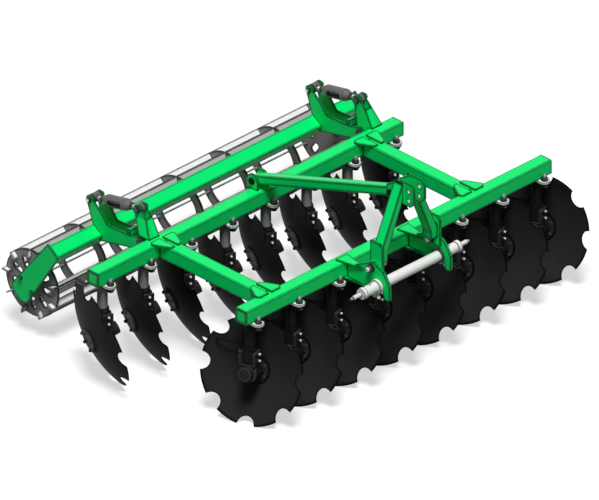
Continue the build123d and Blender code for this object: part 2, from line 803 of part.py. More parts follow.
with BuildPart() as roller_bars:
    with BuildSketch(side_view(hitch_x - bar_length / 2, axle_y, axle_z)):
        with PolarLocations(roller_tip - bar_depth / 2, bar_count, bar_start):
            Rectangle(bar_depth, bar_thick)
    extrude(amount=bar_length)
roller_bars.part.label = "roller_bars"
export_step(roller_bars.part, "parts/roller_bars.step")

# ------------------------------------------------------------------ turnbuckles

reach_y = arm_pin_back - post_pin_back
reach_z = arm_pin_rise - post_pin_rise
pin_reach = sqrt(reach_y**2 + reach_z**2)
way = Vector(0, reach_y, reach_z).normalized()
barrel_end = barrel_start + barrel_length
for name, side in sides:
    x = post_x + side * post_spread / 2
    front_pin = Vector(x, rear_face + post_pin_back, beam_top + post_pin_rise)
    rear_pin = front_pin + way * pin_reach

    # Turned body with an eye on a neck in front, windows through both sides and the rear screw's bore
    with BuildPart() as barrel:
        with BuildSketch(Plane(origin=front_pin, x_dir=way, z_dir=(1, 0, 0))):
            with BuildLine():
                Polyline(
                    (0, 0), (0, screw_radius), (barrel_start, screw_radius), (barrel_start, barrel_neck),
                    (barrel_start + barrel_taper, barrel_radius), (barrel_end - barrel_taper, barrel_radius),
                    (barrel_end, barrel_neck), (barrel_end, 0), close=True,
                )
            make_face()
        revolve(axis=Axis(front_pin, way))
        with BuildSketch(side_view(x - front_eye_thick / 2, front_pin.Y, front_pin.Z)):
            Circle(eye_radius)
        extrude(amount=front_eye_thick)
        window = front_pin + way * (barrel_start + barrel_length / 2)
        with BuildSketch(Plane(origin=window, x_dir=way, z_dir=(1, 0, 0))):
            SlotOverall(window_length, window_height)
        extrude(amount=barrel_radius, both=True, mode=Mode.SUBTRACT)
        with BuildSketch(side_view(x - front_eye_thick / 2, front_pin.Y, front_pin.Z)):
            Circle(pin_radius + running_fit)
        extrude(amount=front_eye_thick, mode=Mode.SUBTRACT)
        bore = Plane(origin=front_pin + way * (barrel_start + barrel_taper), x_dir=(1, 0, 0), z_dir=way)
        with BuildSketch(bore):
            Circle(screw_radius + running_fit)
        extrude(amount=barrel_length, mode=Mode.SUBTRACT)
    barrel.part.label = f"turnbuckle_barrel_{name}"
    export_step(barrel.part, f"parts/turnbuckle_barrel_{name}.step")

    with BuildPart() as screw:
        with BuildSketch(side_view(x - rear_eye_thick / 2, rear_pin.Y, rear_pin.Z)):
            Circle(eye_radius)
        extrude(amount=rear_eye_thick)
        with BuildSketch(Plane(origin=rear_pin, x_dir=(1, 0, 0), z_dir=-way)):
            Circle(screw_radius)
        extrude(amount=pin_reach - screw_end)
        with BuildSketch(side_view(x - rear_eye_thick / 2, rear_pin.Y, rear_pin.Z)):
            Circle(pin_radius + eye_play)
        extrude(amount=rear_eye_thick, mode=Mode.SUBTRACT)
    screw.part.label = f"turnbuckle_screw_{name}"
    export_step(screw.part, f"parts/turnbuckle_screw_{name}.step")
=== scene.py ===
"""Looks for a mounted disc harrow: enamel, plated and bare steel finishes over the fixed frame, with its
bolts, nuts, washers, threads, scrapers, clamp plates, seals and weld beads as new pieces, and a pale studio
round it.

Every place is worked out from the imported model's joints and node boxes. Lengths are in metres.
"""

import json
import math

import bpy
import numpy as np
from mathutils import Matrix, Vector

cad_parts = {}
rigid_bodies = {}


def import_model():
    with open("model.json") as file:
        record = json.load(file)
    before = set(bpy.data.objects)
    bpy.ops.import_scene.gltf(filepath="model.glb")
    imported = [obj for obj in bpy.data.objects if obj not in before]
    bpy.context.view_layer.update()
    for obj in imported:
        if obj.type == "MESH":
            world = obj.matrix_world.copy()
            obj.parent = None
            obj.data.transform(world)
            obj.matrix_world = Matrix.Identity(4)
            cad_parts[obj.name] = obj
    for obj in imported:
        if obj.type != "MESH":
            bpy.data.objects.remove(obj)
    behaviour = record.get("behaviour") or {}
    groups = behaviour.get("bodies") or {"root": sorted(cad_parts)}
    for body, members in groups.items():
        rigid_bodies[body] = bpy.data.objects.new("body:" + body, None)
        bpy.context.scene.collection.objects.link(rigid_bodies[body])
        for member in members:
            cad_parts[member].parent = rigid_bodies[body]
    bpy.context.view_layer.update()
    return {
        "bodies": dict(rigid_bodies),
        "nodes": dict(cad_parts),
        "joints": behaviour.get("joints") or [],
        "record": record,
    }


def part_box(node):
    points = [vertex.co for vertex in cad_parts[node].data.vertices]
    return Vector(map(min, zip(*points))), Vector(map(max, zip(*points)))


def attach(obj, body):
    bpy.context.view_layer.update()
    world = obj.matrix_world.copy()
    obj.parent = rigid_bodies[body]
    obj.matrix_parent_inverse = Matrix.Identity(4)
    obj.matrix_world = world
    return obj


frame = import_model()

bl_info = {
    "name": "Disc harrow looks",
    "version": (1, 0, 0),
    "blender": (4, 5, 0),
    "location": "View3D > Sidebar > Harrow",
    "description": "Finishes, fastenings, threads and weld beads of a mounted disc harrow",
    "category": "Object",
}

JOINTS = {joint["name"]: joint for joint in frame["joints"]}
SIDES = ("left", "right")
ROWS = ("front", "rear")
DISCS = [name for name in frame["bodies"] if name.startswith("disc_")]

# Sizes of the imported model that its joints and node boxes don't give
RIM_OFFSET = 0.009  # a disc's rim centre beside its stand's axis
BLOCK_SHIFT = 0.010  # a stand's block behind the stand's axis
STAND_FLANGE = 0.010
STAND_FOOT = 0.096  # block and collar below a rear stand's tube
STAND_TOP = 0.011  # flange over the tube
LUG_REACH = 0.017  # from the beam's face to a lug's bolt
CHEEK_FACE = 0.0425  # front of a hub carrier's cheek, from the block's middle
CHEEK_BACK = 0.0485
FLANGE_SEAT = 0.0500  # back of a disc's flange, from the rim centre towards the belly
BELLY_FACE = 0.0640  # belly's flat middle, likewise
HOUSING_FACE = 0.0458
SHAFT_RADIUS = 0.027
BRACKET_HALF = 0.0075  # half a hitch bracket's thickness
FOOT_PLATE = 0.012  # mast leg's foot against a bracket
MAST_PLATE = 0.012
BARREL_START = 0.051  # a turnbuckle's barrel, from the front pin
BARREL_END = 0.262
SCREW_EYE = 0.025
PIN_RISE = 0.104  # pin of an arm's fork, over and behind the roller frame's hinge
PIN_BACK = 0.356
ARM_FACE = 0.0392  # outer faces of an arm's and a post's plates, from their middle
POST_FACE = 0.0242

LINE_BLACK = (0.002, 0.002, 0.002)
NUT = 0.8  # a nut's height over its bolt's diameter
UP = np.array([0.0, 0.0, 1.0])


# ---------------------------------------------------------------- sizes and colours a user would change


class HarrowFastenings(bpy.types.PropertyGroup):
    """Sizes of the bolts, the turnbuckles' thread and the weld beads."""

    stand_bolt: bpy.props.FloatProperty(
        name="Stand bolt", description="Radius of the bolts through each stand's lugs",
        default=0.010, unit="LENGTH",
    )
    hub_bolt: bpy.props.FloatProperty(
        name="Hub bolt", description="Radius of the bolts through each hub carrier",
        default=0.006, unit="LENGTH",
    )
    disc_bolt: bpy.props.FloatProperty(
        name="Disc bolt", description="Radius of the bolts through each disc", default=0.005, unit="LENGTH"
    )
    disc_bolts: bpy.props.IntProperty(name="Disc bolts", description="Bolts through each disc", default=6)
    disc_circle: bpy.props.FloatProperty(
        name="Disc bolt circle", description="Radius of the circle of bolts in a disc",
        default=0.0555, unit="LENGTH",
    )
    thread_pitch: bpy.props.FloatProperty(
        name="Turnbuckle thread", description="Pitch of the turnbuckles' screws", default=0.006, unit="LENGTH"
    )
    weld: bpy.props.FloatProperty(
        name="Weld bead", description="Radius of a weld bead", default=0.0035, unit="LENGTH"
    )


class HarrowFinishes(bpy.types.PropertyGroup):
    """Colours of the harrow's finishes."""

    enamel: bpy.props.FloatVectorProperty(
        name="Enamel", description="Green enamel of the frame",
        subtype="COLOR", size=3, default=(0.001, 0.80, 0.168),
    )
    disc_black: bpy.props.FloatVectorProperty(
        name="Disc black", description="Paint of the discs",
        subtype="COLOR", size=3, default=(0.024, 0.024, 0.0245),
    )
    stand_grey: bpy.props.FloatVectorProperty(
        name="Stand grey", description="Paint of the stands",
        subtype="COLOR", size=3, default=(0.014, 0.014, 0.0142),
    )
    # Painted highlight: a paler grey laid only on the rear stands' tubes, so they read lighter than the front
    # stands in the same paint.
    highlight_grey: bpy.props.FloatVectorProperty(
        name="Tube grey", description="Paint of the rear stands' tubes", subtype="COLOR", size=3,
        default=(0.30, 0.30, 0.302),
    )
    hub_grey: bpy.props.FloatVectorProperty(
        name="Hub grey", description="Paint of the hub carriers",
        subtype="COLOR", size=3, default=(0.018, 0.018, 0.0182),
    )
    plated: bpy.props.FloatVectorProperty(
        name="Plated steel", description="Pale plating of shaft and clamps", subtype="COLOR", size=3,
        default=(0.82, 0.82, 0.81),
    )
    dark_steel: bpy.props.FloatVectorProperty(
        name="Dark steel", description="Turnbuckles, shaft washers and the roller's pins",
        subtype="COLOR", size=3, default=(0.11, 0.11, 0.112),
    )
    ring_grey: bpy.props.FloatVectorProperty(
        name="Ring grey", description="Paint of the roller's rings",
        subtype="COLOR", size=3, default=(0.25, 0.25, 0.25),
    )
    bar_grey: bpy.props.FloatVectorProperty(
        name="Bar grey", description="Paint of the roller's bars",
        subtype="COLOR", size=3, default=(0.88, 0.88, 0.875),
    )
    bolt_grey: bpy.props.FloatVectorProperty(
        name="Bolt grey", description="Zinc of the stand bolts' thread ends",
        subtype="COLOR", size=3, default=(0.34, 0.34, 0.345),
    )
    nut_dark: bpy.props.FloatVectorProperty(
        name="Nut dark", description="Finish of the nuts and heads on stands, hubs and mast feet",
        subtype="COLOR", size=3, default=(0.03, 0.03, 0.031),
    )
    line: bpy.props.FloatProperty(
        name="Edge line", description="Width of the dark line along an edge", default=0.011, unit="LENGTH"
    )


class HarrowStage(bpy.types.PropertyGroup):
    """Camera, lamps and floor."""

    azimuth: bpy.props.FloatProperty(
        name="Azimuth", description="Camera's way round the harrow", default=math.radians(45), subtype="ANGLE"
    )
    elevation: bpy.props.FloatProperty(
        name="Elevation", description="Camera's height over the horizon", default=math.radians(30),
        subtype="ANGLE",
    )
    view_width: bpy.props.FloatProperty(
        name="View width", description="Width that the camera takes in", default=2.955, unit="LENGTH"
    )
    sun: bpy.props.FloatProperty(name="Key light", description="Strength of the key light", default=3.22)
    sky: bpy.props.FloatProperty(name="Sky", description="Strength of the light from all round", default=0.12)
    bounce: bpy.props.FloatProperty(
        name="Bounce", description="Share of the light that the floor gives back to the harrow", default=0.10
    )


def fastenings():
    """The scene's sizes of fastenings."""
    return bpy.context.scene.harrow_fastenings


def finishes():
    """The scene's colours."""
    return bpy.context.scene.harrow_finishes


# ---------------------------------------------------------------- surfaces


def skin(levels, segments):
    """Quads between rings of points that follow each other, and a fan at each end on the two last points."""
    i, j = np.meshgrid(np.arange(levels - 1), np.arange(segments), indexing="ij")
    k = (j + 1) % segments
    sides = np.stack([i * segments + j, i * segments + k, (i + 1) * segments + k, (i + 1) * segments + j], -1)
    here = np.arange(segments)
    after, last, pole = (here + 1) % segments, (levels - 1) * segments, levels * segments
    low = np.stack([after, here, np.full(segments, pole)], -1)
    high = np.stack([last + here, last + after, np.full(segments, pole + 1)], -1)
    return [sides.reshape(-1, 4), low, high]


def unit(vectors):
    """Each row brought to length 1."""
    return vectors / np.linalg.norm(vectors, axis=1, keepdims=True)


def lathe(rows, segments=24, flats=0):
    """Closed surface of two parameters, level and angle: at level i the radius is rows[i][0] and the height
    rows[i][1]. Where rows[i][2] is 1 the radius is that of a regular polygon of `flats` sides, r / cos of the
    angle from the nearest flat's middle, never past the corner. Both ends close on a pole."""
    rows = np.array(rows, float)
    angle = np.arange(segments) * 2 * np.pi / segments
    radius = rows[:, :1] * np.ones(segments)
    if flats:
        turn = 2 * np.pi / flats
        off = np.mod(angle + turn / 2, turn) - turn / 2
        radius = radius * (1 + rows[:, 2:3] * (1 / np.cos(off) - 1))
    grid = np.stack([radius * np.cos(angle), radius * np.sin(angle), rows[:, 1:2] * np.ones(segments)], -1)
    points = np.vstack([grid.reshape(-1, 3), [[0, 0, rows[0, 1]], [0, 0, rows[-1, 1]]]])
    return points, skin(len(rows), segments)


def tube(path, radius, segments=8, ripple=0.0, waves=0.0):
    """Round profile carried along a path: a point at (s, a) is path(s) + r(s) (cos a n + sin a b), where n and
    b are square to the path and r(s) = radius (1 + ripple sin(2 pi waves s)). Both ends close on a pole."""
    path = np.array(path, float)
    step = unit(np.gradient(path, axis=0))
    guide = np.array([0.0, 0.0, 1.0]) if abs(step[:, 2]).max() < 0.9 else np.array([0.31, 0.95, 0.02])
    n = unit(np.cross(step, guide))
    b = np.cross(step, n)
    angle = np.arange(segments) * 2 * np.pi / segments
    swell = radius * (1 + ripple * np.sin(2 * np.pi * waves * np.linspace(0, 1, len(path))))
    around = np.cos(angle)[None, :, None] * n[:, None] + np.sin(angle)[None, :, None] * b[:, None]
    points = (path[:, None] + swell[:, None, None] * around).reshape(-1, 3)
    return np.vstack([points, path[:1], path[-1:]]), skin(len(path), segments)


def strap(path, wide, thick, up):
    """Flat bar carried along a path: a point at (s, a) is path(s) + wide/2 c(a) w + thick/2 d(a) n, where w
    lies towards up, n is square to w and the path, and (c, d) runs round a rectangle with its corners cut."""
    path, up = np.array(path, float), np.array(up, float)
    step = unit(np.gradient(path, axis=0))
    n = unit(np.cross(step, up))
    w = np.cross(n, step)
    cut = 0.16
    cut_w, cut_n = 1 - cut * thick / wide, 1 - cut
    corners = np.array([
        (-1, -cut_n), (-cut_w, -1), (cut_w, -1), (1, -cut_n),
        (1, cut_n), (cut_w, 1), (-cut_w, 1), (-1, cut_n),
    ])
    around = corners[None, :, :1] * w[:, None] * wide / 2 + corners[None, :, 1:] * n[:, None] * thick / 2
    points = (path[:, None] + around).reshape(-1, 3)
    outward = [np.roll(part[:, ::-1], 1, axis=1) for part in skin(len(path), len(corners))]
    return np.vstack([points, path[:1], path[-1:]]), outward


def eased(corners, radius=0.008, steps=4):
    """Corners of a bent bar with each inner one turned into a short curve, (1-t)^2 a + 2t(1-t) b + t^2 c."""
    corners = [np.array(c, float) for c in corners]
    out = [corners[0]]
    for before, here, after in zip(corners, corners[1:], corners[2:]):
        a = here + (before - here) / np.linalg.norm(before - here) * radius
        c = here + (after - here) / np.linalg.norm(after - here) * radius
        t = np.linspace(0, 1, steps + 1)[:, None]
        out += list((1 - t) ** 2 * a + 2 * t * (1 - t) * here + t**2 * c)
    return np.array(out + [corners[-1]])


def frames(places, ways, ups=(0, 0, 1)):
    """One 4 by 4 matrix for each place, whose Z axis lies along its way and whose X axis leans towards up."""
    places, ways = np.atleast_2d(np.array(places, float)), unit(np.atleast_2d(np.array(ways, float)))
    ups = np.broadcast_to(np.array(ups, float), ways.shape)
    level = np.abs(np.sum(ups * ways, 1)) > 0.97
    ups = np.where(level[:, None], np.array([0.0, 1.0, 0.0]), ups)
    x = unit(ups - np.sum(ups * ways, 1, keepdims=True) * ways)
    y = np.cross(ways, x)
    out = np.zeros((len(places), 4, 4))
    out[:, :3, 0], out[:, :3, 1], out[:, :3, 2], out[:, :3, 3] = x, y, ways, places
    out[:, 3, 3] = 1
    return out


def copies(shape, matrices):
    """The shape repeated at every matrix, as one set of points and faces."""
    points, faces = shape
    moved = np.einsum("kij,nj->kni", matrices[:, :3, :3], points) + matrices[:, None, :3, 3]
    shift = (np.arange(len(matrices)) * len(points))[:, None, None]
    return moved.reshape(-1, 3), [(part[None] + shift).reshape(-1, part.shape[1]) for part in faces]


def joined(shapes):
    """Several sets of points and faces as one."""
    points, faces, start = [], [], 0
    for shape_points, shape_faces in shapes:
        points.append(shape_points)
        faces += [part + start for part in shape_faces]
        start += len(shape_points)
    return np.vstack(points), faces


def piece(name, shape, body, material, smooth=40):
    """A mesh object from points and faces, riding on a body, shaded smooth below the given angle."""
    points, faces = shape
    mesh = bpy.data.meshes.new(name)
    lengths = np.concatenate([np.full(len(part), part.shape[1]) for part in faces])
    corners = np.concatenate([part.ravel() for part in faces])
    mesh.vertices.add(len(points))
    mesh.vertices.foreach_set("co", np.ascontiguousarray(points, np.float32).ravel())
    mesh.loops.add(len(corners))
    mesh.loops.foreach_set("vertex_index", corners.astype(np.int32))
    mesh.polygons.add(len(lengths))
    starts = np.concatenate([[0], np.cumsum(lengths)[:-1]])
    mesh.polygons.foreach_set("loop_start", starts.astype(np.int32))
    mesh.update(calc_edges=True)
    mesh.validate()
    mesh.shade_smooth()
    mesh.set_sharp_from_angle(angle=math.radians(smooth))
    mesh.materials.append(material)
    obj = bpy.data.objects.new(name, mesh)
    bpy.context.collection.objects.link(obj)
    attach(obj, body)
    return obj


# ---------------------------------------------------------------- fastenings as shapes


def hex_rows(across, height):
    """Levels of a hexagon head whose corners are chamfered at both ends."""
    half = across / 2
    return [
        (half * 0.96, 0, 0), (half, height * 0.12, 1), (half, height * 0.86, 1), (half * 0.96, height, 0),
    ]


def hex_bolt(radius, head=0.65, washer=True):
    """Hexagon head of a bolt standing on its washer, its seat at z = 0."""
    thick = radius * 0.3 if washer else 0
    shapes = []
    if washer:
        shapes.append(lathe([(radius * 1.95, 0, 0), (radius * 1.95, thick, 0)], 16))
    rows = [(r, h + thick, flat) for r, h, flat in hex_rows(radius * 3, radius * 2 * head)]
    shapes.append(lathe(rows, 12, 6))
    return joined(shapes)


def bolt_end(radius, over=1.2):
    """Chamfered end of a bolt standing `over` radii out of a nut whose washer lies at z = 0."""
    top = radius * 1.9
    end = top + over * radius
    return lathe([(radius, top * 0.9, 0), (radius, end - radius * 0.25, 0), (radius * 0.75, end, 0)], 12)


def nut_and_end(radius, over=1.2):
    """Hexagon nut on its washer, with the bolt's end standing out of it by `over` radii."""
    return joined([hex_bolt(radius, head=NUT), bolt_end(radius, over)])


def ring(outer, inner, height, bevel, segments=40):
    """Turned ring of two parameters, place on the profile and angle: a point is (r cos a, r sin a, z) with
    (r, z) on a profile that runs up the bore, out over the top, down the rim and back underneath."""
    profile = np.array([
        (inner, bevel), (inner, height - bevel), (inner + bevel, height), (outer - bevel, height),
        (outer, height - bevel), (outer, bevel), (outer - bevel, 0), (inner + bevel, 0),
    ])
    angle = np.arange(segments) * 2 * np.pi / segments
    around = np.stack([np.cos(angle), np.sin(angle)], -1)
    level = profile[:, None, 1:] * np.ones((1, segments, 1))
    grid = np.concatenate([profile[:, None, :1] * around[None], level], -1)
    i, j = np.meshgrid(np.arange(len(profile)), np.arange(segments), indexing="ij")
    k, m = (j + 1) % segments, (i + 1) % len(profile)
    faces = np.stack([i * segments + j, m * segments + j, m * segments + k, i * segments + k], -1)
    return grid.reshape(-1, 3), [faces.reshape(-1, 4)]


# ---------------------------------------------------------------- shader groups and materials


def node_group(name, inputs, outputs):
    """Empty shader group with named float or colour sockets, and its two end nodes."""
    group = bpy.data.node_groups.new(name, "ShaderNodeTree")
    for items, way in ((inputs, "INPUT"), (outputs, "OUTPUT")):
        for label, socket, default in items:
            made = group.interface.new_socket(name=label, in_out=way, socket_type=socket)
            if default is not None:
                made.default_value = default
    return group, group.nodes.new("NodeGroupInput"), group.nodes.new("NodeGroupOutput")


def edge_line_group():
    """Mask of a thin band along every edge: where the normal of a rounded edge leaves the surface's own."""
    group, start, end = node_group(
        "Edge line", [("Width", "NodeSocketFloat", 0.003), ("Strength", "NodeSocketFloat", 1.0)],
        [("Mask", "NodeSocketFloat", None)],
    )
    nodes, links = group.nodes, group.links
    soft = nodes.new("ShaderNodeBevel")
    soft.samples = 6
    links.new(start.outputs["Width"], soft.inputs["Radius"])
    own = nodes.new("ShaderNodeNewGeometry")
    dot = nodes.new("ShaderNodeVectorMath")
    dot.operation = "DOT_PRODUCT"
    links.new(soft.outputs["Normal"], dot.inputs[0])
    links.new(own.outputs["Normal"], dot.inputs[1])
    spread = nodes.new("ShaderNodeMapRange")
    spread.interpolation_type = "SMOOTHSTEP"
    spread.inputs["From Min"].default_value = 0.998
    spread.inputs["From Max"].default_value = 0.975
    links.new(dot.outputs["Value"], spread.inputs["Value"])
    links.new(start.outputs["Strength"], spread.inputs["To Max"])
    links.new(spread.outputs["Result"], end.inputs["Mask"])
    return group


def tone_group():
    """Slow and fine change of a colour over the surface, in object space: the colour times 1 +- amount."""
    group, start, end = node_group(
        "Tone",
        [
            ("Color", "NodeSocketColor", (0.5, 0.5, 0.5, 1)), ("Scale", "NodeSocketFloat", 3.0),
            ("Amount", "NodeSocketFloat", 0.08),
        ],
        [("Color", "NodeSocketColor", None), ("Fine", "NodeSocketFloat", None)],
    )
    nodes, links = group.nodes, group.links
    where = nodes.new("ShaderNodeTexCoord")
    slow = nodes.new("ShaderNodeTexNoise")
    slow.inputs["Detail"].default_value = 4
    links.new(where.outputs["Object"], slow.inputs["Vector"])
    links.new(start.outputs["Scale"], slow.inputs["Scale"])
    fine = nodes.new("ShaderNodeTexNoise")
    fine.inputs["Scale"].default_value = 260
    fine.inputs["Detail"].default_value = 3
    links.new(where.outputs["Object"], fine.inputs["Vector"])
    gain = nodes.new("ShaderNodeMath")
    gain.operation = "MULTIPLY_ADD"
    centre = nodes.new("ShaderNodeMath")
    centre.operation = "SUBTRACT"
    centre.inputs[1].default_value = 0.5
    links.new(slow.outputs["Fac"], centre.inputs[0])
    links.new(centre.outputs["Value"], gain.inputs[0])
    double = nodes.new("ShaderNodeMath")
    double.operation = "MULTIPLY"
    double.inputs[1].default_value = 2
    links.new(start.outputs["Amount"], double.inputs[0])
    links.new(double.outputs["Value"], gain.inputs[1])
    gain.inputs[2].default_value = 1
    scaled = nodes.new("ShaderNodeVectorMath")
    scaled.operation = "SCALE"
    links.new(start.outputs["Color"], scaled.inputs[0])
    links.new(gain.outputs["Value"], scaled.inputs["Scale"])
    links.new(scaled.outputs["Vector"], end.inputs["Color"])
    links.new(fine.outputs["Fac"], end.inputs["Fine"])
    return group


def band_group():
    """Mask that is 1 between two heights in object space and 0 above and below them."""
    group, start, end = node_group(
        "Band", [("Low", "NodeSocketFloat", 0.0), ("High", "NodeSocketFloat", 1.0)],
        [("Mask", "NodeSocketFloat", None)],
    )
    nodes, links = group.nodes, group.links
    where, axes = nodes.new("ShaderNodeTexCoord"), nodes.new("ShaderNodeSeparateXYZ")
    links.new(where.outputs["Object"], axes.inputs["Vector"])
    above, below, both = (nodes.new("ShaderNodeMath") for _ in range(3))
    above.operation, below.operation, both.operation = "GREATER_THAN", "LESS_THAN", "MULTIPLY"
    for test, limit in ((above, "Low"), (below, "High")):
        links.new(axes.outputs["Z"], test.inputs[0])
        links.new(start.outputs[limit], test.inputs[1])
    links.new(above.outputs["Value"], both.inputs[0])
    links.new(below.outputs["Value"], both.inputs[1])
    links.new(both.outputs["Value"], end.inputs["Mask"])
    return group


def rim_group():
    """Mask that is 1 on faces that look straight away from a line along X through (y, z) in object space."""
    group, start, end = node_group(
        "Rim", [("Y", "NodeSocketFloat", 0.0), ("Z", "NodeSocketFloat", 0.0)],
        [("Mask", "NodeSocketFloat", None)],
    )
    nodes, links = group.nodes, group.links
    where, line = nodes.new("ShaderNodeTexCoord"), nodes.new("ShaderNodeCombineXYZ")
    away, across, dot = (nodes.new("ShaderNodeVectorMath") for _ in range(3))
    away.operation, across.operation, dot.operation = "SUBTRACT", "MULTIPLY", "DOT_PRODUCT"
    across.inputs[1].default_value = (0, 1, 1)
    straight, outward = nodes.new("ShaderNodeVectorMath"), nodes.new("ShaderNodeMath")
    straight.operation, outward.operation = "NORMALIZE", "GREATER_THAN"
    outward.inputs[1].default_value = 0.9
    for axis in "YZ":
        links.new(start.outputs[axis], line.inputs[axis])
    links.new(where.outputs["Object"], away.inputs[0])
    links.new(line.outputs["Vector"], away.inputs[1])
    links.new(away.outputs["Vector"], across.inputs[0])
    links.new(across.outputs["Vector"], straight.inputs[0])
    links.new(straight.outputs["Vector"], dot.inputs[0])
    links.new(where.outputs["Normal"], dot.inputs[1])
    links.new(dot.outputs["Value"], outward.inputs[0])
    links.new(outward.outputs["Value"], end.inputs["Mask"])
    return group


GROUP_MAKERS = {"Edge line": edge_line_group, "Tone": tone_group, "Band": band_group, "Rim": rim_group}


def placed(nodes, name, **values):
    """A node with the named shader group, built the first time that it is asked for, and its inputs set."""
    node = nodes.new("ShaderNodeGroup")
    node.node_tree = bpy.data.node_groups.get(name) or GROUP_MAKERS[name]()
    for label, value in values.items():
        node.inputs[label].default_value = value
    return node


def color_mix(tree, mask, under, over):
    """Node that lays the colour `over` on the colour socket `under` where the mask says."""
    mix = tree.nodes.new("ShaderNodeMix")
    mix.data_type = "RGBA"
    mix.inputs["B"].default_value = (*over, 1)
    tree.links.new(mask.outputs["Mask"], mix.inputs["Factor"])
    tree.links.new(under, mix.inputs["A"])
    return mix.outputs["Result"]


def painted(name, color, roughness, gloss, **looks):
    """Paint or metal: toned colour, dark line along the edges, fine grain in its roughness and height. `looks`
    may name the tone's scale and amount, metallic, the gloss's tint, the line's colour, strength (line) and
    width, and a patch: the group that masks it, the group's values and the patch's colour."""
    material = bpy.data.materials.new(name)
    material.use_nodes = True
    material.diffuse_color = (*color, 1)
    tree = material.node_tree
    nodes, links = tree.nodes, tree.links
    shader = nodes["Principled BSDF"]
    shader.inputs["Metallic"].default_value = looks.get("metallic", 0.0)
    shader.inputs["Specular IOR Level"].default_value = gloss
    shader.inputs["Specular Tint"].default_value = (*looks.get("tint", (1, 1, 1)), 1)
    scale, amount = looks.get("scale", 3.0), looks.get("amount", 0.06)
    tone = placed(nodes, "Tone", Color=(*color, 1), Scale=scale, Amount=amount)
    width = finishes().line * looks.get("width", 1.0)
    edge = placed(nodes, "Edge line", Width=width, Strength=looks.get("line", 1.0))
    under = tone.outputs["Color"]
    if "patch" in looks:
        group, values, patch_color = looks["patch"]
        under = color_mix(tree, placed(nodes, group, **values), under, patch_color)
    shown = color_mix(tree, edge, under, looks.get("line_color", LINE_BLACK))
    links.new(shown, shader.inputs["Base Color"])
    grain = 0.06
    rough = nodes.new("ShaderNodeMapRange")
    rough.inputs["To Min"].default_value = roughness - grain
    rough.inputs["To Max"].default_value = roughness + grain
    links.new(tone.outputs["Fine"], rough.inputs["Value"])
    links.new(rough.outputs["Result"], shader.inputs["Roughness"])
    relief = nodes.new("ShaderNodeBump")
    relief.inputs["Strength"].default_value = 0.15
    relief.inputs["Distance"].default_value = 0.0004
    links.new(tone.outputs["Fine"], relief.inputs["Height"])
    links.new(relief.outputs["Normal"], shader.inputs["Normal"])
    return material


def dark_outer_faces(grey):
    """Near-black patch on the faces of the roller that look straight away from its axle, so that the thin
    outer faces of bars and rings read dark like the edge lines.
    """
    axle = JOINTS["roller_spin"]["pos_m"]
    return "Rim", {"Y": axle[1], "Z": axle[2]}, (grey, grey, grey)


def painted_tube_highlight(color):
    """Painted highlight: a paler colour on the rear stands between their collars and flanges, where the front
    stands keep their dark paint.
    """
    low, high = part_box("rear_stands")
    return "Band", {"Low": low[2] + STAND_FOOT, "High": high[2] - STAND_TOP}, color


def finish_of(slot):
    """Colour, roughness, gloss and other looks of a finish."""
    color = finishes()
    enamel = dict(amount=0.03, tint=(0.3, 0.9, 0.5), width=1.5, line_color=(0, 0.012, 0.004))
    # The rear stands are the stands' paint made glossier, with the painted highlight on their tubes.
    tubes = dict(amount=0.15, width=0.6, patch=painted_tube_highlight(color.highlight_grey))
    # Everything in hub grey gets an edge line paler than its paint: a painted highlight along its rims.
    hub = dict(amount=0.2, width=0.5, line_color=(0.085, 0.085, 0.085))
    rings = dict(amount=0.15, width=1.6, patch=dark_outer_faces(0.02))
    bars = dict(amount=0.04, width=1.5, patch=dark_outer_faces(0.006))
    return {
        "green_paint": (color.enamel, 0.42, 0.18, enamel),
        "disc_steel": (color.disc_black, 0.5, 0.02, dict(scale=5, amount=0.25)),
        "stand_grey": (color.stand_grey, 0.5, 0.03, dict(amount=0.15, width=0.6)),
        "rear_stand_lit_grey": (color.stand_grey, 0.4, 0.2, tubes),
        "hub_grey": (color.hub_grey, 0.5, 0.05, hub),
        "plated_steel": (color.plated, 0.34, 0.5, dict(amount=0.05, width=0.7)),
        "turnbuckle_grey": (color.dark_steel, 0.42, 0.4, dict(metallic=0.3, amount=0.15)),
        "roller_grey": (color.ring_grey, 0.5, 0.2, rings),
        "bar_light": (color.bar_grey, 0.5, 0.4, bars),
        "bolt_grey": (color.bolt_grey, 0.35, 0.5, dict(metallic=0.4, amount=0.1, line=0.8, width=0.35)),
        "nut_dark": (color.nut_dark, 0.3, 0.4, dict(metallic=0.2, amount=0.1, line=0.6, width=0.3)),
        "bright_steel": (color.plated, 0.3, 0.5, dict(metallic=0.3, amount=0.05, line=0.0)),
        "scraper_black": ((0.006, 0.006, 0.006), 0.5, 0.04, dict(amount=0.1, line=0.0)),
        "seal_black": ((0.008, 0.008, 0.008), 0.6, 0.2, dict(amount=0.1, line=0.0)),
    }[slot]


def material(slot):
    """The finish of a material slot, built the first time that it is asked for."""
    name = f"{slot} finish"
    color, roughness, gloss, looks = finish_of(slot)
    return bpy.data.materials.get(name) or painted(name, color, roughness, gloss, **looks)


# ---------------------------------------------------------------- places worked out from the frame


def corners_of(node):
    """Low and high corner of a node's box."""
    low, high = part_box(node)
    return np.array(low), np.array(high)


def middle(node):
    """Middle of a node's box."""
    return sum(corners_of(node)) / 2


def joint_place(name):
    """Where a joint's axis runs, and which way."""
    joint = JOINTS[name]
    return np.array(joint["pos_m"], float), np.array(joint["axis"], float)


def belly_side(way):
    """1 where a disc's belly looks towards +X, else -1."""
    return 1.0 if way[0] > 0 else -1.0


